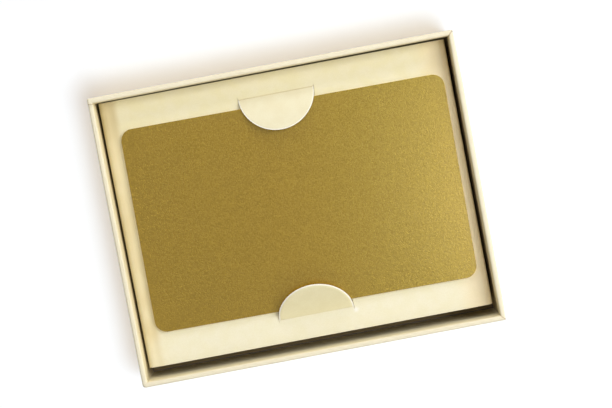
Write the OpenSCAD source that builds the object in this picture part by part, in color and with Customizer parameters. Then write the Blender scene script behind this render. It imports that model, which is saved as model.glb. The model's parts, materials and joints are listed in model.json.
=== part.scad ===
// An open gift card box: a rigid tray of grey board covered with cream paper, a folded card
// platform that stands loose inside it, and a plastic gift card that two half-round tabs hold
// on the platform. The tray stands on z = 0, centred on x = 0 and y = 0. Its length lies along
// X, its front wall faces -Y and its back wall faces +Y.

/* [Card] */
// Length of the gift card, round which the box is made
card_l = 85.6; // [70:0.1:120]
// Width of the gift card
card_w = 53.98; // [40:0.01:90]
// Corner radius of the gift card
card_r = 3.18; // [2:0.01:5]
// Thickness of the gift card
card_t = 0.76; // [0.5:0.01:0.84]
// Thickness of the face and back films
film_t = 0.08; // [0.05:0.01:0.12]
// Width of the magnetic stripe
stripe_w = 12.7; // [9.5:0.1:12.7]
// Distance from the card's back edge to the stripe
stripe_inset = 4; // [3:0.1:5.5]
// Thickness of the stripe
stripe_t = 0.03; // [0.02:0.01:0.04]
// Turn of the card on the platform, clockwise from above
card_turn = 0.5; // [0:0.1:1]

/* [Platform] */
// Width of platform left of the card
left_margin = 4.1; // [3:0.1:10]
// Width of platform right of the card
right_margin = 2.3; // [2:0.1:10]
// Width of platform behind the card
back_margin = 8.21; // [6.5:0.01:15]
// Width of platform in front of the card
front_margin = 8.36; // [6.5:0.01:15]
// Thickness of the platform's card stock
sheet_t = 0.25; // [0.2:0.01:0.35]
// Outside radius of the soft bend along the left and right edges
bend_r = 2; // [1:0.1:3]
// Depth of the platform's top below the rim
platform_drop = 4.5; // [4:0.1:6]
// Gap between the platform and the left wall
left_gap = 0.55; // [0.3:0.05:1]
// Gap between the platform and the right wall
right_gap = 0.85; // [0.3:0.05:1]
// Gap between the platform and the back wall
back_gap = 0.35; // [0.3:0.05:1]
// Gap between the platform and the front wall
front_gap = 2.8; // [1:0.1:3]

/* [Legs] */
// How far each leg is set in from the platform's raw edges
leg_relief = 1; // [0.5:0.1:3]
// Size of the cut-off lower corners of a leg
leg_bevel = 3; // [1:0.5:5]
// Gap between the legs and the floor
leg_clear = 0.1; // [0.05:0.05:0.3]

/* [Tabs] */
// Radius of the half-round tabs
tab_r = 10; // [8:0.1:14]
// How far the back tab stands to the right of the platform's middle
back_tab_shift = 0.25; // [-2:0.05:2]
// Width of the die-cut slit round a tab
slit_w = 0.1; // [0.05:0.01:0.3]
// How far the slit runs on past the crease
slit_tail = 0.6; // [0.2:0.1:2]
// Distance from the card's back edge to the back tab's crease
back_crease = 2.45; // [2.3:0.05:4]
// Distance from the card's front edge to the front tab's crease
front_crease = 2.25; // [2.1:0.05:4]
// Gap between the card's upper edge and a tab that leans on it
tab_clear = 0.03; // [0.02:0.01:0.2]
// Angle by which the front tab stands up off the card
front_spring = 7; // [0:1:15]

/* [Tray] */
// Outside height of the tray
tray_h = 20; // [15:0.5:40]
// Outside radius of the tray's upright corners
corner_r = 0.5; // [0.4:0.05:1]
// Radius of the paper where it turns over the rim and under the base
edge_r = 0.55; // [0.4:0.05:0.6]

/* [Board and paper] */
// Thickness of the grey board
board_t = 1.2; // [1:0.1:2]
// Thickness of the covering paper
paper_t = 0.15; // [0.1:0.01:0.2]
// Width of the paper margin turned under the base
turn_under = 9; // [5:0.5:15]
// How far the base sheet stays in from the tray's outline
base_sheet_inset = 1.2; // [1:0.1:3]
// Gap all round the floor liner
liner_gap = 0.2; // [0.1:0.05:0.5]
// Width of the paper's seams at the corners
seam_w = 0.14; // [0.08:0.02:0.3]
// Depth of those seams
seam_d = 0.08; // [0.03:0.01:0.09]

/* [Corner tape] */
// Thickness of the gummed tape
tape_t = 0.1; // [0.05:0.01:0.12]
// Length of tape on each wall
tape_leg = 11; // [6:0.5:20]
// How far the tape stops below the rim
tape_drop = 1.2; // [1:0.1:3]

/* [Hidden] */
$fn = 64;
// Overrun of every cut
over = 1;
// Wall of the tray: board with paper on both sides
wall_t = board_t + 2 * paper_t;
// Levels of the tray, from the table up
margin_z = paper_t;
base_z = margin_z + paper_t;
floor_board_z = base_z + board_t;
floor_z = floor_board_z + paper_t;
// Platform, cut to the card and its margins
platform_l = card_l + left_margin + right_margin;
platform_w = card_w + back_margin + front_margin;
// Inside and outside of the tray, made round the platform and its gaps
inner_l = platform_l + left_gap + right_gap;
inner_w = platform_w + back_gap + front_gap;
tray_l = inner_l + 2 * wall_t;
tray_w = inner_w + 2 * wall_t;
// Place of the platform
platform_x = (left_gap - right_gap) / 2;
platform_y = (front_gap - back_gap) / 2;
platform_z = tray_h - platform_drop;
// Legs, hung from the lower ends of the bends
leg_w = platform_w - 2 * leg_relief;
leg_top = platform_z - bend_r;
leg_h = leg_top - floor_z - leg_clear;
// Card
card_x = platform_x + (left_margin - right_margin) / 2;
card_y = platform_y + (front_margin - back_margin) / 2;
core_t = card_t - 2 * film_t;
// Creases of the tabs, and how much nearer to one the turned card comes at a tab's end
back_crease_y = card_y + card_w / 2 + back_crease;
front_crease_y = card_y - card_w / 2 - front_crease;
back_tab_x = platform_x + back_tab_shift;
front_tab_x = platform_x;
function skew(tab_x) = (tab_r + abs(tab_x - card_x)) * sin(card_turn);
// Angle at which a tab's underside just passes over the card's upper edge
function lean(span) = let (rise = card_t + tab_clear)
    atan2(rise, span) + asin(sheet_t / norm([span, rise]));
back_lift = lean(back_crease - skew(back_tab_x));
front_lift = lean(front_crease - skew(front_tab_x)) + front_spring;

// Outline with round corners
module round_rect(l, w, r) {
    square([l - 2 * r, w], center = true);
    square([l, w - 2 * r], center = true);
    for (sx = [-1, 1], sy = [-1, 1])
        translate([sx * (l / 2 - r), sy * (w / 2 - r)]) circle(r);
}

// The tray is drawn as sections that run along its walls and meet in mitres at its corners. In
// a section, x is the distance outwards from the wall's inner face and y is the height.
// Sides 0 to 3 are the right, back, left and front walls.
function reach(side) = side % 2 == 0 ? inner_l / 2 : inner_w / 2;

// A section along one wall, cut to a mitre at both ends
module along(side) {
    half = reach(side + 1) + wall_t;
    rotate([0, 0, 90 * side])
        difference() {
            translate([reach(side), 0, 0])
                rotate([90, 0, 0]) linear_extrude(2 * half, center = true) children();
            for (end = [-1, 1])
                translate([reach(side), end * reach(side + 1), -over])
                    rotate([0, 0, end * 90 - 45]) cube([2 * wall_t, 2 * wall_t, tray_h + 2 * over]);
        }
}

// A section all the way round
module all_round() {
    for (side = [0:3])
        along(side) children();
}

// Everything within the tray's outline, at a depth below the face of the paper
module outline(depth, low, high) {
    translate([0, 0, low])
        linear_extrude(high - low)
            round_rect(tray_l - 2 * depth, tray_w - 2 * depth, corner_r - depth);
}

// Rectangle from one corner to the other with its four corners rounded
module soft_rect(x0, y0, x1, y1, r) {
    translate([x0 + r, y0]) square([x1 - x0 - 2 * r, y1 - y0]);
    translate([x0, y0 + r]) square([x1 - x0, y1 - y0 - 2 * r]);
    for (x = [x0 + r, x1 - r], y = [y0 + r, y1 - r])
        translate([x, y]) circle(r);
}

// Section of a wall from the rim to the underside of the base, at a depth below the paper's face
module wall_section(depth) {
    soft_rect(depth, margin_z + depth, wall_t - depth, tray_h - depth, edge_r - depth);
}

// The four walls, at a depth below the paper's face
module walls(depth) {
    intersection() {
        all_round() wall_section(depth);
        outline(depth, 0, tray_h);
    }
}

// The four tapes, each folded round an outer corner of the boards. They are drawn out past the
// boards by grow, to press them flush into the board.
module stays(grow = 0) {
    intersection() {
        difference() {
            outline(paper_t - grow, floor_board_z, tray_h - tape_drop);
            outline(paper_t + tape_t, 0, tray_h);
        }
        for (sx = [-1, 1], sy = [-1, 1])
            translate([sx * (tray_l / 2 + over - tape_leg / 2), sy * (tray_w / 2 + over - tape_leg / 2), 0])
                linear_extrude(tray_h) square(tape_leg + 2 * over, center = true);
    }
}

// The outermost skin of the paper, into which the seams are cut
module skin() {
    difference() {
        outline(-over, base_z, tray_h + over);
        walls(seam_d);
        linear_extrude(tray_h - edge_r)
            square([inner_l + 2 * edge_r, inner_w + 2 * edge_r], center = true);
    }
}

// Half disc on the side of a crease that dir points to
module half_disc(r, dir) {
    intersection() {
        circle(r);
        translate([-r, dir > 0 ? 0 : -r]) square([2 * r, r]);
    }
}

// Die-cut opening that a tab leaves in the platform, with the slit's two tails
module tab_cut(tab_x, crease_y, dir) {
    translate([tab_x, crease_y, platform_z - sheet_t - over])
        linear_extrude(sheet_t + 2 * over) {
            half_disc(tab_r + slit_w, dir);
            for (s = [-1, 1])
                translate([s * (tab_r + slit_w / 2), -dir * slit_tail / 2])
                    square([slit_w, slit_tail + slit_w], center = true);
        }
}

// A tab, turned up about its crease on the platform's upper surface
module tab(tab_x, crease_y, dir, lift) {
    translate([tab_x, crease_y, platform_z])
        rotate([dir * lift, 0, 0])
            translate([0, 0, -sheet_t]) linear_extrude(sheet_t) half_disc(tab_r, dir);
}

// Section of the platform: a flat sheet that bends down a quarter turn at both ends
module platform_section() {
    flat_l = platform_l - 2 * bend_r;
    translate([-flat_l / 2, -sheet_t]) square([flat_l, sheet_t]);
    for (s = [-1, 1])
        translate([s * flat_l / 2, -bend_r])
            intersection() {
                difference() {
                    circle(bend_r);
                    circle(bend_r - sheet_t);
                }
                translate([s > 0 ? 0 : -bend_r, 0]) square(bend_r);
            }
}

// A leg: a flap with its lower corners cut off. side is -1 for the left, 1 for the right.
module leg(side) {
    outer_x = platform_x + side * platform_l / 2;
    translate([outer_x - (side > 0 ? sheet_t : 0), platform_y, leg_top])
        rotate([90, 0, 90])
            linear_extrude(sheet_t)
                polygon([
                    [-leg_w / 2, 0], [leg_w / 2, 0], [leg_w / 2, leg_bevel - leg_h],
                    [leg_w / 2 - leg_bevel, -leg_h], [leg_bevel - leg_w / 2, -leg_h],
                    [-leg_w / 2, leg_bevel - leg_h]
                ]);
}

// A layer of the card, between two heights above the platform
module card_layer(low, high) {
    translate([card_x, card_y, platform_z])
        rotate([0, 0, -card_turn])
            translate([0, 0, low]) linear_extrude(high - low) round_rect(card_l, card_w, card_r);
}

// The stripe's strip of the card's underside
module stripe_band(low, high) {
    intersection() {
        card_layer(low, high);
        translate([card_x, card_y, platform_z])
            rotate([0, 0, -card_turn])
                translate([-card_l / 2 - over, card_w / 2 - stripe_inset - stripe_w, low - over])
                    cube([card_l + 2 * over, stripe_w, high - low + 2 * over]);
    }
}

// Base board: grey board under the whole tray
module base_board() {
    color("#a39a8b")
        intersection() {
            union() {
                translate([0, 0, base_z])
                    linear_extrude(board_t)
                        square([tray_l - 2 * edge_r, tray_w - 2 * edge_r], center = true);
                all_round() wall_section(paper_t);
            }
            outline(paper_t, base_z, floor_board_z);
        }
}

// A wall board, which stands on the base board and is mitred where it meets the next
module wall_board(side) {
    color("#a39a8b")
        difference() {
            intersection() {
                along(side) wall_section(paper_t);
                outline(paper_t, floor_board_z, tray_h);
            }
            stays(over);
        }
}

module front_wall_board() {
    wall_board(3);
}

module back_wall_board() {
    wall_board(1);
}

module left_wall_board() {
    wall_board(2);
}

module right_wall_board() {
    wall_board(0);
}

// Corner stays: four gummed paper tapes
module corner_stays() {
    color("#b98f5e") stays();
}

// Wall wrap: one strip of paper round the walls, over the rim and down to the floor inside, with
// a margin turned under the base. It butts at the back left corner, where its ends meet, and is
// folded to a mitre at both right corners.
module wall_wrap() {
    color("#f3e9c9")
        difference() {
            union() {
                difference() {
                    walls(0);
                    walls(paper_t);
                    translate([0, 0, -over])
                        linear_extrude(floor_board_z + over)
                            square([tray_l - 2 * edge_r, tray_w - 2 * edge_r], center = true);
                }
                translate([0, 0, margin_z])
                    linear_extrude(paper_t)
                        difference() {
                            square([tray_l - 2 * edge_r, tray_w - 2 * edge_r], center = true);
                            square([tray_l - 2 * turn_under, tray_w - 2 * turn_under], center = true);
                        }
            }
            intersection() {
                skin();
                union() {
                    translate([-inner_l / 2 - wall_t - over, inner_w / 2 - seam_w, 0])
                        cube([wall_t + over, seam_w, tray_h + over]);
                    for (sy = [-1, 1])
                        translate([inner_l / 2, sy * inner_w / 2, 0])
                            rotate([0, 0, sy * 45])
                                translate([0, -seam_w / 2, 0]) cube([2 * wall_t, seam_w, tray_h + over]);
                }
            }
        }
}

// Base sheet: paper that covers the turned-under margin and meets the table
module base_sheet() {
    color("#efe4c2")
        linear_extrude(paper_t)
            square([tray_l - 2 * base_sheet_inset, tray_w - 2 * base_sheet_inset], center = true);
}

// Floor liner: paper on the inside of the floor
module floor_liner() {
    color("#efe4c2")
        translate([0, 0, floor_board_z])
            linear_extrude(paper_t)
                square([inner_l - 2 * liner_gap, inner_w - 2 * liner_gap], center = true);
}

// Platform: the folded sheet that carries the card, with the openings of its two tabs
module platform() {
    color("#f0e5bd")
        difference() {
            translate([platform_x, platform_y, platform_z])
                rotate([90, 0, 0]) linear_extrude(platform_w, center = true) platform_section();
            tab_cut(back_tab_x, back_crease_y, -1);
            tab_cut(front_tab_x, front_crease_y, 1);
        }
}

module left_leg() {
    color("#e6d8ac") leg(-1);
}

module right_leg() {
    color("#e6d8ac") leg(1);
}

// Back tab: leans on the card's back edge
module back_tab() {
    color("#f7f0d2") tab(back_tab_x, back_crease_y, -1, back_lift);
}

// Front tab: stands a little higher
module front_tab() {
    color("#ece0b6") tab(front_tab_x, front_crease_y, 1, front_lift);
}

// Gift card: a white plastic core between a gold face and a clear back
module card_core() {
    color("#f4f4f0") card_layer(film_t, film_t + core_t);
}

module card_face() {
    color("#b8954a") card_layer(film_t + core_t, card_t);
}

module card_back() {
    color("#e9e7e0")
        difference() {
            card_layer(0, film_t);
            stripe_band(0, stripe_t);
        }
}

// Magnetic stripe, flush in the back film
module magnetic_stripe() {
    color("#2e2620") stripe_band(0, stripe_t);
}

base_board();
front_wall_board();
back_wall_board();
left_wall_board();
right_wall_board();
corner_stays();
wall_wrap();
base_sheet();
floor_liner();
platform();
left_leg();
right_leg();
back_tab();
front_tab();
card_core();
card_face();
card_back();
magnetic_stripe();
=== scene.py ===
import json
import math

import bmesh
import bpy
from mathutils import Matrix, Vector, noise


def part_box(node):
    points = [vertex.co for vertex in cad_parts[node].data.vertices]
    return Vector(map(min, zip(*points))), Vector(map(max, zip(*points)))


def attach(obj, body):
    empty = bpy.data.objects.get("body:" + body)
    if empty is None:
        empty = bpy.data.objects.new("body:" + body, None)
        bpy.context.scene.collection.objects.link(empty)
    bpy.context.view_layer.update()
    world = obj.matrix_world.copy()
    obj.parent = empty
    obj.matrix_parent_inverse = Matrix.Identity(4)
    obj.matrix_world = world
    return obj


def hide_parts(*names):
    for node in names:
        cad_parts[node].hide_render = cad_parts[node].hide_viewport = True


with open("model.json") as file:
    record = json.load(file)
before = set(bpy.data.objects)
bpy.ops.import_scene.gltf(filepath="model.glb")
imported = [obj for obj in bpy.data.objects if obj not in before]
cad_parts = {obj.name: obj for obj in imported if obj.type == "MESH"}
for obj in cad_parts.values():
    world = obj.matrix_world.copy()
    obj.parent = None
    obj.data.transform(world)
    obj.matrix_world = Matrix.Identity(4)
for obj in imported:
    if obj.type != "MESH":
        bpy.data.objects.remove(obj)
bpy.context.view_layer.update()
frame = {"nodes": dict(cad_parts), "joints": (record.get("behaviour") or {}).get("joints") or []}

# Base and wall boards
# Five pieces of grey board, pressed from waste paper and cut with a knife. They are glued up
# into a tray, the walls standing on the base, and no face of them is left uncovered.

MM = 0.001
BOARDS = ("base_board", "front_wall_board", "back_wall_board", "left_wall_board", "right_wall_board")


class Wire:
    """A number that a shader works out at each point of a surface."""

    def __init__(self, finish, socket):
        self.finish = finish
        self.socket = socket

    def join(self, operation, a, b):
        return self.finish.node("ShaderNodeMath", {"operation": operation}, {0: a, 1: b})

    def __add__(self, other):
        return self.join("ADD", self, other)

    def __radd__(self, other):
        return self.join("ADD", other, self)

    def __sub__(self, other):
        return self.join("SUBTRACT", self, other)

    def __rsub__(self, other):
        return self.join("SUBTRACT", other, self)

    def __mul__(self, other):
        return self.join("MULTIPLY", self, other)

    def __rmul__(self, other):
        return self.join("MULTIPLY", other, self)

    def size(self):
        return self.finish.node("ShaderNodeMath", {"operation": "ABSOLUTE"}, {0: self})

    def larger(self, other):
        return self.join("MAXIMUM", self, other)


class Finish:
    """A material: one Principled shader and the nodes that vary it over the surface."""

    def __init__(self, name, **constants):
        self.material = bpy.data.materials.new(name)
        self.material.use_nodes = True
        self.tree = self.material.node_tree
        self.shader = self.tree.nodes["Principled BSDF"]
        for word, value in constants.items():
            self.shader.inputs[word.replace("_", " ")].default_value = value
        self.place = self.node("ShaderNodeTexCoord", {}, {}, "Object")

    def node(self, kind, settings, sockets, out=0):
        """Adds a node of any kind and hands back one of its outputs."""
        node = self.tree.nodes.new(kind)
        for word, value in settings.items():
            setattr(node, word, value)
        for word, value in sockets.items():
            if isinstance(value, Wire):
                self.tree.links.new(value.socket, node.inputs[word])
            else:
                node.inputs[word].default_value = value
        return Wire(self, node.outputs[out])

    def axis(self, word):
        return self.node("ShaderNodeSeparateXYZ", {}, {"Vector": self.place}, word)

    def feed(self, word, value):
        self.tree.links.new(value.socket, self.shader.inputs[word])

    def grain(self, size, detail=2.0, stretch=(1, 1, 1)):
        """Noise from 0 to 1 whose lumps are about one size across, in metres."""
        place = self.place
        if stretch != (1, 1, 1):
            place = self.node("ShaderNodeMapping", {}, {"Vector": place, "Scale": stretch})
        return self.node("ShaderNodeTexNoise", {"noise_dimensions": "3D"},
                         {"Vector": place, "Scale": 1 / size, "Detail": detail, "Roughness": 0.55})

    def fade(self, value, start, end):
        """0 up to start, 1 from end on and smooth between, whichever of the two is the larger."""
        return self.node("ShaderNodeMapRange", {"interpolation_type": "SMOOTHSTEP", "clamp": True},
                         {0: value, 1: start, 2: end, 3: 0.0, 4: 1.0})

    def mix(self, factor, a, b):
        """One colour going over into another."""
        return self.node("ShaderNodeMix", {"data_type": "RGBA"}, {0: factor, 6: a, 7: b}, 2)

    def bump(self, height, depth):
        """Relief of a depth in metres, for the Normal socket."""
        self.feed("Normal", self.node("ShaderNodeBump", {},
                                      {"Height": height, "Distance": depth, "Strength": 1.0}))


def tone(red, green, blue):
    """A colour given as it looks on a screen, from 0 to 255, in the shader's own terms."""
    shares = (red / 255, green / 255, blue / 255)
    return (*(((share + 0.055) / 1.055) ** 2.4 for share in shares), 1.0)


def paint(finish, *nodes):
    """Gives a finish to pieces whose shape stays as built."""
    for name in nodes:
        mesh = frame["nodes"][name].data
        mesh.materials.clear()
        mesh.materials.append(finish.material)


def grey_board():
    finish = Finish("grey board", Roughness=0.9)
    fibres = finish.grain(0.4 * MM, detail=4)
    flecks = finish.fade(finish.grain(1.1 * MM, detail=3), 0.62, 0.72)
    body = finish.mix(fibres, tone(140, 131, 118), tone(176, 168, 154))
    finish.feed("Base Color", finish.mix(flecks * 0.6, body, tone(96, 88, 78)))
    finish.feed("Roughness", 0.82 + 0.14 * fibres)
    finish.bump(fibres, 0.05 * MM)
    return finish


paint(grey_board(), *BOARDS)


# Corner stays
# Four strips of brown gummed paper tape, wetted and folded round the outside of each corner
# before the tray is covered. They hold the walls to each other and lie flush in the board.

def gummed_tape():
    finish = Finish("gummed tape", Roughness=0.5)
    ribs = finish.grain(0.5 * MM, detail=3, stretch=(1, 1, 0.12))
    cloud = finish.grain(5 * MM)
    kraft = finish.mix(ribs, tone(166, 124, 80), tone(198, 158, 110))
    finish.feed("Base Color", finish.mix(cloud * 0.5, kraft, tone(180, 136, 86)))
    finish.feed("Roughness", 0.42 + 0.2 * ribs)
    finish.bump(ribs, 0.02 * MM)
    return finish


paint(gummed_tape(), "corner_stays")


# Covering paper of the walls
# One strip of smooth cream paper, glued round the outside, folded over the rim and down inside,
# and turned under the base. It is lapped a little differently at each corner, and is never flat.

WRAP_LOW, WRAP_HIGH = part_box("wall_wrap")
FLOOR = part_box("floor_liner")[1].z
PAPER = 0.15 * MM
WALL = 1.5 * MM
INSIDE_X = WRAP_HIGH.x - WALL
INSIDE_Y = WRAP_HIGH.y - WALL
RIM_R = 0.55 * MM
MARGIN = 9 * MM
# How round the upright folds inside are, and the centres about which the paper turns inside and out
FOLD_R = 0.1 * MM
FOLD_X = INSIDE_X - FOLD_R
FOLD_Y = INSIDE_Y - FOLD_R
# How round each upright corner is pressed: back left, back right, front left, front right
CORNER_R = {(-1, 1): 0.4 * MM, (1, 1): 0.7 * MM, (-1, -1): 0.9 * MM, (1, -1): 0.5 * MM}
# Where one paper ends under another: how deep it is pressed in, how far off that starts, and the
# narrow strip of mesh that makes its end a sharp step
LAP = 0.09 * MM
LAP_REACH = 7 * MM
LAP_EDGE = 0.05 * MM
# The narrow strip in the middle of a corner's turn where the two papers meet
MEETING = math.radians(2)
# The paper's waves, long and short, and how much deeper the long ones are near the rim
WAVE = 11 * MM
WAVE_DEPTH = 0.02 * MM
RIM_WAVE_DEPTH = 0.025 * MM
RIM_WAVE_REACH = 3 * MM
RIPPLE = 2.6 * MM
RIPPLE_DEPTH = 0.01 * MM
# How far the paper is drawn in, so that no wave stands past the tray's size
DRAWN_IN = 0.03 * MM
# What is nearer than this to a line or a height counts as on it
ON_LINE = 0.01 * MM
# Points nearer to each other than this are merged
MERGE = 0.001 * MM


class Pen:
    """Draws a line of edges in a bmesh, one straight or round stretch after another."""

    def __init__(self, bm, start):
        self.bm = bm
        self.end = bm.verts.new(start)

    def line(self, shift, steps=1):
        self.spin((0, 0, 0), (0, 0, 1), 0, steps, Vector(shift) / steps)

    def spin(self, centre, axis, angle, steps, shift=(0, 0, 0)):
        made = bmesh.ops.spin(self.bm, geom=[self.end], cent=centre, axis=axis, dvec=shift,
                              angle=angle, steps=steps, use_merge=False)
        self.end = next(v for v in made["geom_last"] if isinstance(v, bmesh.types.BMVert))


def sweep(bm, front, centre=(0, 0, 0), angle=0.0, shift=(0, 0, 0), steps=1):
    """Carries a line of edges on, straight or round an upright axis, and leaves a surface behind."""
    made = bmesh.ops.spin(bm, geom=front, cent=centre, axis=(0, 0, 1), dvec=Vector(shift) / steps,
                          angle=angle, steps=steps, use_merge=False)
    return [e for e in made["geom_last"] if isinstance(e, (bmesh.types.BMEdge, bmesh.types.BMVert))]


def draw_section(bm):
    """The paper's outer face, from the floor inside, over the rim and round under the base."""
    top, low = WRAP_HIGH.z, WRAP_LOW.z
    outside = INSIDE_X + WALL
    pen = Pen(bm, (INSIDE_X, -FOLD_Y, FLOOR))
    pen.line((0, 0, top - RIM_R - FLOOR), steps=10)
    pen.spin((INSIDE_X + RIM_R, -FOLD_Y, top - RIM_R), (0, 1, 0), math.pi / 2, steps=8)
    pen.line((WALL - 2 * RIM_R, 0, 0), steps=3)
    pen.spin((outside - RIM_R, -FOLD_Y, top - RIM_R), (0, 1, 0), math.pi / 2, steps=8)
    pen.line((0, 0, low - top + 2 * RIM_R), steps=12)
    pen.spin((outside - RIM_R, -FOLD_Y, low + RIM_R), (0, 1, 0), math.pi / 2, steps=5)
    pen.line((RIM_R - WALL, 0, 0), steps=2)
    return bm.edges[:] + bm.verts[:]


def tucked(place):
    """1 where a short wall's paper ends under that of a long wall, 0 away from the corners."""
    if place.x < 0 and place.y < 0:
        return 0.0
    across = abs(place.x) - FOLD_X
    along = abs(place.y) - FOLD_Y
    butted = place.x < 0
    over = along > -ON_LINE if butted else along > max(across, 0)
    away = max(0.0, -across, -along) / LAP_REACH
    return 0.0 if over else (1 - min(away, 1.0)) ** 2


def squared(place, radius):
    """Moves a point of a quarter turn outwards, so that the turn becomes a corner of that radius."""
    axis = Vector((math.copysign(FOLD_X, place.x), math.copysign(FOLD_Y, place.y)))
    across, along = abs(place.x) - abs(axis.x), abs(place.y) - abs(axis.y)
    if across <= 0 or along <= 0:
        return
    far = math.hypot(across, along)
    large, both = max(across, along) / far, (across + along) / far
    turn = FOLD_R + WALL
    inset = turn - radius
    reach = turn / large
    if reach * min(across, along) / far > inset:
        reach = inset * both + math.sqrt((inset * both) ** 2 - 2 * inset ** 2 + radius ** 2)
    place.xy = axis + (place.xy - axis) * (reach / turn)


def turn_margin_under(bm):
    """Lays the margin flat under the base, as a frame with square inner corners."""
    low = WRAP_LOW.z + ON_LINE
    edge = [e for e in bm.edges if e.is_boundary and max(v.co.z for v in e.verts) < low]
    made = bmesh.ops.extrude_edge_only(bm, edges=edge)
    limit = Vector((WRAP_HIGH.x - MARGIN, WRAP_HIGH.y - MARGIN))
    for vert in made["geom"]:
        if isinstance(vert, bmesh.types.BMVert):
            vert.co.x = max(-limit.x, min(limit.x, vert.co.x))
            vert.co.y = max(-limit.y, min(limit.y, vert.co.y))


def lay_paper(bm):
    """Gives the glued paper its waves, and presses it in where it ends under another."""
    elsewhere = Vector((7, 3, 1))
    for vert in bm.verts:
        slow = noise.noise(vert.co / WAVE)
        quick = noise.noise(vert.co / RIPPLE + elsewhere)
        near_rim = max(0.0, 1 - (WRAP_HIGH.z - vert.co.z) / RIM_WAVE_REACH)
        depth = (WAVE_DEPTH + RIM_WAVE_DEPTH * near_rim) * slow + RIPPLE_DEPTH * quick
        vert.co += vert.normal * (depth - LAP * tucked(vert.co) - DRAWN_IN)


def make_wrap():
    """The whole strip, carried along each wall and round each corner, from the right wall on."""
    bm = bmesh.new()
    front = draw_section(bm)
    fine = 4 * MEETING
    wide = math.pi / 4 - MEETING / 2 - fine
    for side in range(4):
        turn = side * math.pi / 2
        reach, length = (FOLD_X, FOLD_Y) if side % 2 == 0 else (FOLD_Y, FOLD_X)
        way = Vector((-math.sin(turn), math.cos(turn), 0))
        out = Vector((math.cos(turn), math.sin(turn), 0))
        for stretch, steps in ((LAP_EDGE, 1), (2 * (length - LAP_EDGE), 56), (LAP_EDGE, 1)):
            front = sweep(bm, front, shift=way * stretch, steps=steps)
        for angle, steps in ((wide, 6), (fine, 4), (MEETING, 1), (fine, 4), (wide, 6)):
            front = sweep(bm, front, centre=out * reach + way * length, angle=angle, steps=steps)
    bmesh.ops.remove_doubles(bm, verts=bm.verts[:], dist=MERGE)
    for vert in bm.verts:
        squared(vert.co, CORNER_R[math.copysign(1, vert.co.x), math.copysign(1, vert.co.y)])
    turn_margin_under(bm)
    bmesh.ops.recalc_face_normals(bm, faces=bm.faces[:])
    bm.normal_update()
    lay_paper(bm)
    return bm


def make_object(bm, name, finishes):
    """Makes an object of a finished mesh."""
    mesh = bpy.data.meshes.new(name)
    bm.to_mesh(mesh)
    bm.free()
    for finish in finishes:
        mesh.materials.append(finish.material)
    thing = bpy.data.objects.new(name, mesh)
    bpy.context.scene.collection.objects.link(thing)
    return thing


def place_piece(bm, name, finishes, body, slot, *nodes):
    """Makes a piece of the tray or the card, which rides with its body and stands for its nodes."""
    for face in bm.faces:
        face.smooth = len(face.verts) < 5
    for edge in bm.edges:
        edge.smooth = not edge.is_boundary
    piece = make_object(bm, name, finishes)
    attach(piece, body)
    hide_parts(*nodes)
    return piece


def thicken(piece, thickness, edge_finish=0):
    """Gives a sheet its thickness, on the side away from its face."""
    solid = piece.modifiers.new("thickness", "SOLIDIFY")
    solid.thickness = thickness
    solid.offset = -1
    solid.material_offset_rim = edge_finish


def past(finish, x, y):
    """How far a point lies past x, to the right or the left, and past y, behind or in front."""
    return finish.axis("X").size() - x, finish.axis("Y").size() - y


def painted_fold_shadow(finish):
    """Painted shadow: 1 along the mitred folds at the right corners and the back left butt, 0
    elsewhere.
    """
    across, along = past(finish, FOLD_X, FOLD_Y)
    right = finish.fade(finish.axis("X"), 0, MM)
    back = finish.fade(finish.axis("Y"), 0, MM)
    mitre = finish.fade((along - across).size(), 0.32 * MM, 0.1 * MM) * right
    butt = finish.fade(along.size(), 0.2 * MM, 0.06 * MM) * (1 - right) * back
    above = finish.fade(finish.axis("Z"), WRAP_HIGH.z - MM, WRAP_HIGH.z - 0.3 * MM)
    return (mitre + butt) * above * finish.fade(across, 0, 0.15 * MM)


def painted_inner_shade(finish):
    """Masks of painted shade: 1 on the faces inside the tray, then 1 low down on those of the two short
    walls.
    """
    across, along = past(finish, INSIDE_X, INSIDE_Y)
    inside = finish.fade(across.larger(along), 0.4 * MM, 0.05 * MM)
    low = finish.fade(finish.axis("Z"), 17 * MM, 13.5 * MM)
    return inside, inside * low * finish.fade(across - along, 0, 0.1 * MM)


def covering_paper():
    finish = Finish("covering paper", Roughness=0.6, Specular_IOR_Level=0.4)
    fibres = finish.grain(0.35 * MM, detail=4)
    cloud = finish.grain(2.6 * MM, detail=3)
    sheet = finish.mix(cloud, tone(240, 230, 200), tone(246, 238, 212))
    # Painted shade: the faces inside the tray take a darker tone of the same paper, and the short walls
    # a darker one still low down
    inside, painted_low_shade = painted_inner_shade(finish)
    sheet = finish.mix(inside, sheet, tone(236, 224, 186))
    sheet = finish.mix(painted_low_shade * 0.7, sheet, tone(160, 140, 96))
    # Painted shadow along the paper's folds at the corners, near the rim
    sheet = finish.mix(painted_fold_shadow(finish) * 0.6, sheet, tone(168, 138, 94))
    finish.feed("Base Color", finish.mix(fibres * 0.35, sheet, tone(232, 219, 184)))
    finish.feed("Roughness", 0.5 + 0.16 * fibres)
    finish.bump(fibres + 0.6 * cloud, 0.018 * MM)
    return finish


COVERING = covering_paper()
wrap = place_piece(make_wrap(), "wrap", [COVERING], "tray", "covering_paper", "wall_wrap")
thicken(wrap, PAPER)


# Base sheet and floor liner
# Two flat pieces of cream paper. One is glued under the base over the margin of the wrap, and
# the other covers the floor inside.

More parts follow.
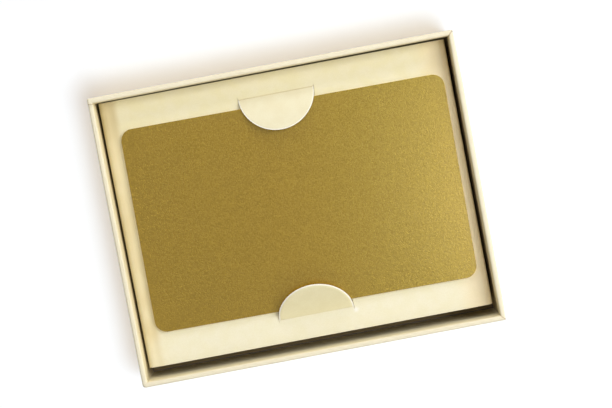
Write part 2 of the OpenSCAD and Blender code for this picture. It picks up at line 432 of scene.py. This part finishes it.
def liner_paper():
    finish = Finish("liner paper", Roughness=0.65)
    fibres = finish.grain(0.4 * MM, detail=4)
    cloud = finish.grain(4 * MM, detail=2)
    sheet = finish.mix(cloud, tone(216, 200, 158), tone(226, 211, 172))
    across, along = past(finish, INSIDE_X, INSIDE_Y)
    # Painted shade along the floor's edges, darkest at the foot of the walls
    painted_edge_shade = finish.fade(across.larger(along), -3.5 * MM, -1.6 * MM)
    sheet = finish.mix(painted_edge_shade * 0.8, sheet, tone(146, 120, 78))
    finish.feed("Base Color", finish.mix(fibres * 0.4, sheet, tone(204, 186, 142)))
    finish.feed("Roughness", 0.56 + 0.2 * fibres)
    finish.bump(fibres, 0.02 * MM)
    return finish


paint(liner_paper(), "floor_liner")
paint(COVERING, "base_sheet")


# Platform
# One sheet of cream card stock, die-cut flat with the openings of its two tabs and then bent
# down softly by hand along its left and right edges. The front and back edges are raw cuts.

LOW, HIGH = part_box("platform")
MIDDLE_X = (LOW.x + HIGH.x) / 2
TOP = HIGH.z
SHEET = 0.25 * MM
BEND_R = 2 * MM
BEND_STEPS = 10
FLAT = (HIGH.x - LOW.x) / 2 - BEND_R
# How much longer the sheet is cut at its left end, and shorter at its right end
SKEW = 0.1 * MM
# How far the flat sheet drops towards its left bend, and how far off it starts to
DROOP = 0.14 * MM
DROOP_REACH = 2.6 * MM
# The waves that handling has left along both bends, and how far off they start
BEND_WAVE = 4.5 * MM
BEND_WAVE_DEPTH = 0.05 * MM
BEND_WAVE_REACH = 3 * MM
# How wide the strips are into which the flat sheet is cut, across its length and across its width
STRIP_X = 3 * MM
STRIP_Y = 2 * MM
# Points nearer than this to such a cut count as on it
ON_CUT = 0.0001 * MM
TAB_R = 10 * MM
SLIT = 0.1 * MM
TAIL = 0.6 * MM
creases = {j["name"]: Vector(j["pos_m"]) for j in frame["joints"] if j["type"] == "hinge"}
BACK_CREASE = creases["back_tab_crease"]
FRONT_CREASE = creases["front_tab_crease"]


def draw_opening(bm, crease, way):
    """The cut line of a tab: a half circle from the crease, with a short tail at each end."""
    wide = TAB_R + SLIT
    pen = Pen(bm, crease + Vector((-wide * way, 0, 0)))
    for shift in ((0, -TAIL), (SLIT, 0), (0, TAIL), (2 * TAB_R, 0), (0, -TAIL), (SLIT, 0), (0, TAIL)):
        pen.line((shift[0] * way, shift[1] * way, 0))
    pen.spin(crease, (0, 0, 1), math.pi, steps=64)


def cut_lines(bm, places, way):
    """Cuts the flat sheet along lines that stand square to the way given, so that it can bend."""
    for place in places:
        bmesh.ops.bisect_plane(bm, geom=bm.verts[:] + bm.edges[:] + bm.faces[:], dist=ON_CUT,
                               plane_co=way * place, plane_no=way)


def smooth(share):
    """The share of a fade that starts and ends softly, 0 before its start and 1 past its end."""
    share = max(0.0, min(1.0, share))
    return share * share * (3 - 2 * share)


def bend_sheet(vert):
    """Takes a point of the flat sheet to its place on the bent one."""
    along = vert.co.x - MIDDLE_X
    side = -1 if along < 0 else 1
    beyond = abs(along) - FLAT
    droop = DROOP * smooth((beyond + DROOP_REACH) / DROOP_REACH) if side < 0 else 0.0
    # The waves are three times as long towards the bend as they are along it
    stretched = Vector((vert.co.x / 3, vert.co.y, 5 * MM))
    wave = noise.noise(stretched / BEND_WAVE) * BEND_WAVE_DEPTH
    loose = smooth((beyond + BEND_WAVE_REACH) / BEND_WAVE_REACH)
    if beyond > 0:
        angle = beyond / BEND_R
        vert.co.x = MIDDLE_X + side * (FLAT + BEND_R * math.sin(angle))
        vert.co.z = TOP - droop - (BEND_R - droop) * (1 - math.cos(angle))
        loose *= math.cos(angle) ** 2
    else:
        vert.co.z = TOP - droop
    vert.co.z += (wave - BEND_WAVE_DEPTH) * loose


def make_platform():
    """The flat sheet with its openings, cut into strips that are finest at the bends, and then bent."""
    bm = bmesh.new()
    arc = BEND_R * math.pi / 2
    pen = Pen(bm, (MIDDLE_X - FLAT - arc, LOW.y, TOP))
    wide, deep = 2 * (FLAT + arc), HIGH.y - LOW.y
    for shift in ((wide, 0, 0), (0, deep - SKEW, 0), (-wide, 2 * SKEW, 0), (0, -deep - SKEW, 0)):
        pen.line(shift)
    draw_opening(bm, BACK_CREASE, -1)
    draw_opening(bm, FRONT_CREASE, 1)
    bmesh.ops.remove_doubles(bm, verts=bm.verts[:], dist=MERGE)
    bmesh.ops.triangle_fill(bm, edges=bm.edges[:], use_beauty=True, normal=(0, 0, 1))
    bends = [s * (FLAT + arc * k / BEND_STEPS) for s in (-1, 1) for k in range(-6, BEND_STEPS)]
    strips = [k * STRIP_X for k in range(-13, 14)]
    cut_lines(bm, [MIDDLE_X + b for b in bends] + strips, Vector((1, 0, 0)))
    cut_lines(bm, [k * STRIP_Y for k in range(-17, 19)], Vector((0, 1, 0)))
    bm.normal_update()
    for vert in bm.verts:
        bend_sheet(vert)
    return bm


def painted_sheet_shading(finish, sheet, across, along):
    """The whole sheet's painted light and shade: paler in front, yellower at the back, warmer at its
    right bend.
    """
    front = finish.fade(along, -24 * MM, -29 * MM)
    back = finish.fade(along, 18 * MM, 36 * MM)
    right = finish.fade(across, 36 * MM, 43 * MM)
    # Painted light in front and painted shade at the back
    sheet = finish.mix(front * 0.45, sheet, tone(247, 246, 226))
    sheet = finish.mix(back * 0.25, sheet, tone(246, 238, 180))
    # Painted shade, in blotches, beside the left bend and darker towards the back, with less of it on
    # the bend itself
    blotches = finish.fade(finish.grain(9 * MM, detail=1), 0.35, 0.65)
    painted_left_shade = finish.fade(across, -40.8 * MM, -43 * MM) * (0.65 + 0.5 * blotches)
    less = 1 - 0.35 * finish.fade(across, -44.3 * MM, -45 * MM)
    sheet = finish.mix(painted_left_shade * less * (0.95 - 0.5 * front), sheet, tone(226, 210, 163))
    sheet = finish.mix(painted_left_shade * back * 0.4, sheet, tone(204, 188, 138))
    # Painted shade towards the right bend, beside the right wall
    sheet = finish.mix(right * 0.55, sheet, tone(251, 225, 178))
    # A painted highlight: a pale spot at the right tail of the front tab
    painted_glint = FRONT_CREASE + Vector((TAB_R + 0.4 * MM, -0.9 * MM, 0))
    away = finish.node("ShaderNodeVectorMath", {"operation": "DISTANCE"},
                       {0: finish.place, 1: painted_glint}, "Value")
    return finish.mix(finish.fade(away, 1.1 * MM, 0), sheet, tone(255, 253, 244))


def card_stock(name, light, deep, whole_sheet=False):
    """Smooth uncoated stock, a little cloudy, with fine fibres, and painted shade along the tabs'
    creases.
    """
    finish = Finish(name, Roughness=0.6, Specular_IOR_Level=0.35)
    fibres = finish.grain(0.3 * MM, detail=5)
    cloud = finish.grain(3.2 * MM, detail=2)
    across, along = finish.axis("X"), finish.axis("Y")
    sheet = finish.mix(finish.fade(cloud, 0.3, 0.7), deep, light)
    if whole_sheet:
        sheet = painted_sheet_shading(finish, sheet, across, along)
    # Painted shade along each tab's crease, stronger at the back tab
    for crease, strength in ((BACK_CREASE, 0.55), (FRONT_CREASE, 0.12)):
        painted_crease_shade = finish.fade((along - crease.y).size(), 0.22 * MM, 0.04 * MM)
        within = finish.fade((across - crease.x).size(), TAB_R + SLIT, TAB_R - SLIT)
        sheet = finish.mix(painted_crease_shade * within * strength, sheet, tone(204, 180, 126))
    finish.feed("Base Color", finish.mix(fibres * 0.5, sheet, tone(226, 212, 172)))
    finish.feed("Roughness", 0.52 + 0.14 * fibres)
    finish.bump(fibres + 0.5 * cloud, 0.016 * MM)
    return finish


def cut_edge():
    """The pale loose fibres of a fresh cut through the stock."""
    finish = Finish("cut edge", Roughness=0.85)
    fibres = finish.grain(0.12 * MM, detail=3)
    finish.feed("Base Color", finish.mix(fibres, tone(250, 244, 222), tone(255, 251, 236)))
    finish.feed("Roughness", 0.75 + 0.2 * fibres)
    finish.bump(fibres, 0.02 * MM)
    return finish


STOCK = card_stock("card stock", tone(247, 239, 208), tone(243, 234, 193), whole_sheet=True)
CUT = cut_edge()
platform = place_piece(make_platform(), "platform_sheet", [STOCK, CUT],
                       "insert", "card_stock", "platform")
thicken(platform, SHEET, edge_finish=1)


# Legs
# The two ends of the same sheet, folded straight down inside the tray so that the platform
# stands on them.

paint(STOCK, "left_leg", "right_leg")


# Tabs
# Half circles die-cut in the platform and turned up about their creases. They lean on the
# card's edges and hold it down, and the stock bows a little on its way.

# What keeps a tab from rubbing on the sheet as it folds over
CLEAR = 0.005 * MM
# Each tab's lift and bow, how wide the die has crushed its edge, and how far it pressed it down
BACK_RISE = math.radians(17)
BACK_BOW = math.radians(10)
BACK_CRUSHED = 0.25 * MM
BACK_PRESSED = 0.05 * MM
FRONT_RISE = math.radians(35)
FRONT_BOW = math.radians(2.5)
FRONT_CRUSHED = 0.4 * MM
FRONT_PRESSED = 0.22 * MM


def make_tab(crease, way, rise, bow, crushed, pressed):
    """A half circle, bowed from its lift at the crease to a flatter one at its tip."""
    bm = bmesh.new()
    pen = Pen(bm, crease)
    pen.line(((TAB_R - crushed) * way, 0, 0), steps=16)
    pen.line((crushed * way, 0, 0))
    sweep(bm, bm.edges[:] + bm.verts[:], centre=crease, angle=math.pi, steps=72)
    bmesh.ops.remove_doubles(bm, verts=bm.verts[:], dist=MERGE)
    bm.normal_update()
    bmesh.ops.reverse_faces(bm, faces=[f for f in bm.faces if f.normal.z < 0])
    outline = [v for v in bm.verts if (v.co - crease).length > TAB_R - ON_LINE]
    for face in bm.faces:
        face.material_index = 1 if any(v in outline for v in face.verts) else 0
    for vert in outline:
        vert.co.z -= pressed * min(1.0, abs(vert.co.y - crease.y) / MM)
    start = rise + bow
    rate = -2 * bow / TAB_R
    for vert in bm.verts:
        angle = start + rate * abs(vert.co.y - crease.y)
        vert.co.y = crease.y + way * (math.sin(angle) - math.sin(start)) / rate
        vert.co.z += (math.cos(start) - math.cos(angle)) / rate
    bmesh.ops.translate(bm, vec=(0, way * CLEAR, CLEAR), verts=bm.verts[:])
    return bm


# Each tab gets its own tone of the platform's stock, as painted light and shade for how it is lit
BACK_TAB_PAINTED_STOCK = card_stock("back tab stock with painted light and shade", tone(241, 235, 204), tone(237, 229, 195))
FRONT_TAB_PAINTED_STOCK = card_stock("front tab stock with painted light and shade", tone(250, 242, 200), tone(246, 237, 192))
back_mesh = make_tab(BACK_CREASE, -1, BACK_RISE, BACK_BOW, BACK_CRUSHED, BACK_PRESSED)
front_mesh = make_tab(FRONT_CREASE, 1, FRONT_RISE, FRONT_BOW, FRONT_CRUSHED, FRONT_PRESSED)
back_tab = place_piece(back_mesh, "back_tab_flap", [BACK_TAB_PAINTED_STOCK, CUT],
                       "back_flap", "card_stock", "back_tab")
front_tab = place_piece(front_mesh, "front_tab_flap", [FRONT_TAB_PAINTED_STOCK, CUT],
                        "front_flap", "card_stock", "front_tab")
for tab in (back_tab, front_tab):
    thicken(tab, SHEET, edge_finish=1)


# Gift card
# A white plastic card of the usual bank-card size, with a bare gold film on its face that has
# a fine metallic sparkle, a clear film on its back and a magnetic stripe.

FACE_LOW, FACE_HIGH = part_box("card_face")
CARD_L = 85.6 * MM
CARD_W = 53.98 * MM
CARD_R = 3.18 * MM
CARD_TURN = math.radians(-0.5)
# How far the film's upper edge is rounded where the card was punched out
CARD_EDGE = 0.06 * MM


def make_face():
    """A thin plate of the card's outline, its upper edge softened, turned as the card lies."""
    bm = bmesh.new()
    thick = FACE_HIGH.z - FACE_LOW.z
    bmesh.ops.create_grid(bm, x_segments=1, y_segments=1, size=0.5)
    bmesh.ops.scale(bm, vec=(CARD_L, CARD_W, 1), verts=bm.verts[:])
    bmesh.ops.bevel(bm, geom=bm.verts[:], offset=CARD_R, segments=14, profile=0.5,
                    affect="VERTICES", material=-1)
    made = bmesh.ops.extrude_face_region(bm, geom=bm.faces[:])
    upper = [v for v in made["geom"] if isinstance(v, bmesh.types.BMVert)]
    bmesh.ops.translate(bm, vec=(0, 0, thick), verts=upper)
    bmesh.ops.recalc_face_normals(bm, faces=bm.faces[:])
    rim = [e for e in bm.edges if all(v.co.z > thick / 2 for v in e.verts)]
    bmesh.ops.bevel(bm, geom=rim, offset=CARD_EDGE, segments=3, profile=0.5,
                    affect="EDGES", material=-1)
    bmesh.ops.rotate(bm, cent=(0, 0, 0), matrix=Matrix.Rotation(CARD_TURN, 3, "Z"), verts=bm.verts[:])
    middle = (FACE_LOW + FACE_HIGH) / 2
    bmesh.ops.translate(bm, vec=(middle.x, middle.y, FACE_LOW.z), verts=bm.verts[:])
    return bm


def gold_film():
    """Fine metal flakes under a clear coat, with painted light in its hue: browner on the left,
    yellower on the right.
    """
    finish = Finish("gold film", Metallic=0.62, Roughness=0.2, Coat_Roughness=0.2, Coat_Weight=1.0)
    flake = finish.node("ShaderNodeTexVoronoi", {"feature": "F1"},
                        {"Vector": finish.place, "Scale": 1 / (0.28 * MM)}, "Color")
    flake = finish.node("ShaderNodeSeparateColor", {}, {"Color": flake}, "Red")
    grain = finish.grain(0.5 * MM, detail=3)
    cloud = finish.grain(9 * MM, detail=2)
    sparkle = 0.55 * flake + 0.45 * grain
    # Painted light: browner on the left, yellower on the right where the sheen is
    gold_in_painted_shade = finish.mix(sparkle, tone(167, 135, 43), tone(205, 170, 62))
    gold_in_painted_sheen = finish.mix(sparkle, tone(167, 140, 46), tone(204, 177, 67))
    gold = finish.mix(finish.fade(finish.axis("X"), -8 * MM, 36 * MM), gold_in_painted_shade, gold_in_painted_sheen)
    finish.feed("Base Color", finish.mix(cloud * 0.3, gold, tone(182, 148, 47)))
    finish.feed("Roughness", 0.16 + 0.08 * flake)
    finish.bump(flake * 0.6 + grain, 0.022 * MM)
    return finish


def card_plastic():
    finish = Finish("white card core", Roughness=0.35)
    cloud = finish.grain(1.2 * MM, detail=3)
    finish.feed("Base Color", finish.mix(cloud, tone(236, 235, 230), tone(246, 245, 241)))
    finish.feed("Roughness", 0.3 + 0.15 * cloud)
    finish.bump(cloud, 0.01 * MM)
    return finish


def clear_film():
    finish = Finish("back film", Roughness=0.2, Coat_Weight=0.4)
    cloud = finish.grain(2 * MM, detail=3)
    finish.feed("Base Color", finish.mix(cloud, tone(228, 226, 219), tone(238, 236, 230)))
    finish.feed("Roughness", 0.16 + 0.12 * cloud)
    finish.bump(cloud, 0.008 * MM)
    return finish


def stripe_coat():
    finish = Finish("magnetic stripe", Roughness=0.35)
    lines = finish.grain(0.3 * MM, detail=3, stretch=(0.05, 1, 1))
    finish.feed("Base Color", finish.mix(lines, tone(34, 27, 23), tone(52, 43, 37)))
    finish.feed("Roughness", 0.28 + 0.2 * lines)
    finish.bump(lines, 0.005 * MM)
    return finish


place_piece(make_face(), "gold_face", [gold_film()], "gift_card", "gold_film", "card_face")
paint(card_plastic(), "card_core")
paint(clear_film(), "card_back")
paint(stripe_coat(), "magnetic_stripe")


# Table, light and camera
# The tray lies on a plain white table. Soft lamps stand round it at the back, the right and the
# front, and a small one above shows in the gold. One more lights only the table, for its shadow.

# Half the table's width, in metres
TABLE = 3
# How white the table looks of itself near the tray, on top of the lamp's light that the tray shades
GLOW = (0.38, 0.31, 0.24, 1.0)
WHITE = (1.0, 1.0, 1.0, 1.0)


def seen(finish):
    """1 for rays that come from the camera, straight or by a mirror or a lens, and 0 for the rest."""
    straight, mirrored, through = (
        finish.node("ShaderNodeLightPath", {}, {}, word)
        for word in ("Is Camera Ray", "Is Glossy Ray", "Is Transmission Ray"))
    return finish.node("ShaderNodeMath", {"operation": "MINIMUM"},
                       {0: straight + mirrored + through, 1: 1.0})


def white_table():
    """A matt white that also shines by itself, seen as white and lighting nothing."""
    finish = Finish("white table", Roughness=0.9)
    cloud = finish.grain(60 * MM)
    finish.feed("Base Color", finish.mix(cloud, tone(228, 228, 228), tone(232, 232, 232)))
    away = finish.node("ShaderNodeVectorMath", {"operation": "LENGTH"}, {0: finish.place}, "Value")
    glow = finish.mix(finish.fade(away, 120 * MM, 500 * MM), GLOW, WHITE)
    shine = finish.node("ShaderNodeEmission", {}, {"Color": glow, "Strength": seen(finish)})
    matt = Wire(finish, finish.shader.outputs[0])
    both = finish.node("ShaderNodeAddShader", {}, {0: matt, 1: shine})
    finish.tree.links.new(both.socket, finish.tree.nodes["Material Output"].inputs["Surface"])
    return finish


def make_table():
    bm = bmesh.new()
    bmesh.ops.create_grid(bm, x_segments=8, y_segments=8, size=TABLE)
    table = make_object(bm, "table", [white_table()])
    return table


def group_for(name, thing, state):
    """What a lamp lights: one thing alone, or all but that thing."""
    group = bpy.data.collections.new(name)
    group.objects.link(thing)
    group.collection_objects[0].light_linking.link_state = state
    return group


def make_lamp(name, place, size, power, lights, colour=(1.0, 1.0, 1.0)):
    """A square soft lamp, its place and size in metres and its power in watts, turned to the tray."""
    light = bpy.data.lights.new(name, "AREA")
    light.shape = "SQUARE"
    light.size = size
    light.energy = power
    light.color = colour
    lamp = bpy.data.objects.new(name, light)
    bpy.context.scene.collection.objects.link(lamp)
    lamp.location = place
    lamp.rotation_euler = (-Vector(place)).to_track_quat("-Z", "Y").to_euler()
    lamp.light_linking.receiver_collection = lights


table = make_table()
the_tray = group_for("all but the table", table, "EXCLUDE")
the_table = group_for("the table", table, "INCLUDE")
make_lamp("right lamp", (0.62, 0.15, 0.80), 0.25, 2.37, the_tray)
make_lamp("low right lamp", (0.80, 0.33, 0.60), 0.25, 2.53, the_tray)
make_lamp("right front lamp", (0.65, -0.50, 0.62), 0.40, 2.37, the_tray)
make_lamp("back lamp", (0.05, 0.92, 0.48), 0.35, 2.8, the_tray)
make_lamp("high back lamp", (0.22, 0.42, 0.93), 0.25, 1.25, the_tray)
make_lamp("front lamp", (0.05, -0.82, 0.62), 0.35, 0.5, the_tray)
make_lamp("small top lamp", (0.22, -0.062, 1.0), 0.195, 0.32, the_tray)
# Bluish, so that the shadow where it doesn't reach is warm
make_lamp("table lamp", (0.19, -0.225, 0.94), 0.42, 8.0, the_table, colour=(0.66, 0.82, 1.0))

# How strongly the room lights the tray, while the camera sees it at full strength, and its tint
ROOM = 0.33
ROOM_TINT = (1.0, 0.98, 0.95, 1.0)
world = bpy.data.worlds.new("studio")
bpy.context.scene.world = world
world.use_nodes = True
sky = world.node_tree.nodes["Background"]
sky.inputs["Color"].default_value = ROOM_TINT
rays = world.node_tree.nodes.new("ShaderNodeLightPath")
power = world.node_tree.nodes.new("ShaderNodeMapRange")
power.inputs["To Min"].default_value = ROOM
power.inputs["To Max"].default_value = 1.0
world.node_tree.links.new(rays.outputs["Is Camera Ray"], power.inputs["Value"])
world.node_tree.links.new(power.outputs["Result"], sky.inputs["Strength"])

# The camera's place in metres and its turn in degrees, fitted to the corners of the card, the
# platform and the rim
CAMERA_PLACE = (0.0084083, 0.0240519, 0.4858911)
CAMERA_TURN = (-2.91064, 0.18184, -10.74179)
# The photograph's width and the camera's focal length in its pixels, and a sensor's width
PHOTO_WIDTH = 612
FOCAL_LENGTH = 1800
SENSOR = 36
camera = bpy.data.objects.new("camera", bpy.data.cameras.new("camera"))
bpy.context.scene.collection.objects.link(camera)
bpy.context.scene.camera = camera
camera.location = CAMERA_PLACE
camera.rotation_euler = [math.radians(angle) for angle in CAMERA_TURN]
camera.data.sensor_width = SENSOR
camera.data.lens = FOCAL_LENGTH / PHOTO_WIDTH * SENSOR
camera.data.clip_start = 10 * MM
bpy.context.scene.view_settings.view_transform = "Standard"
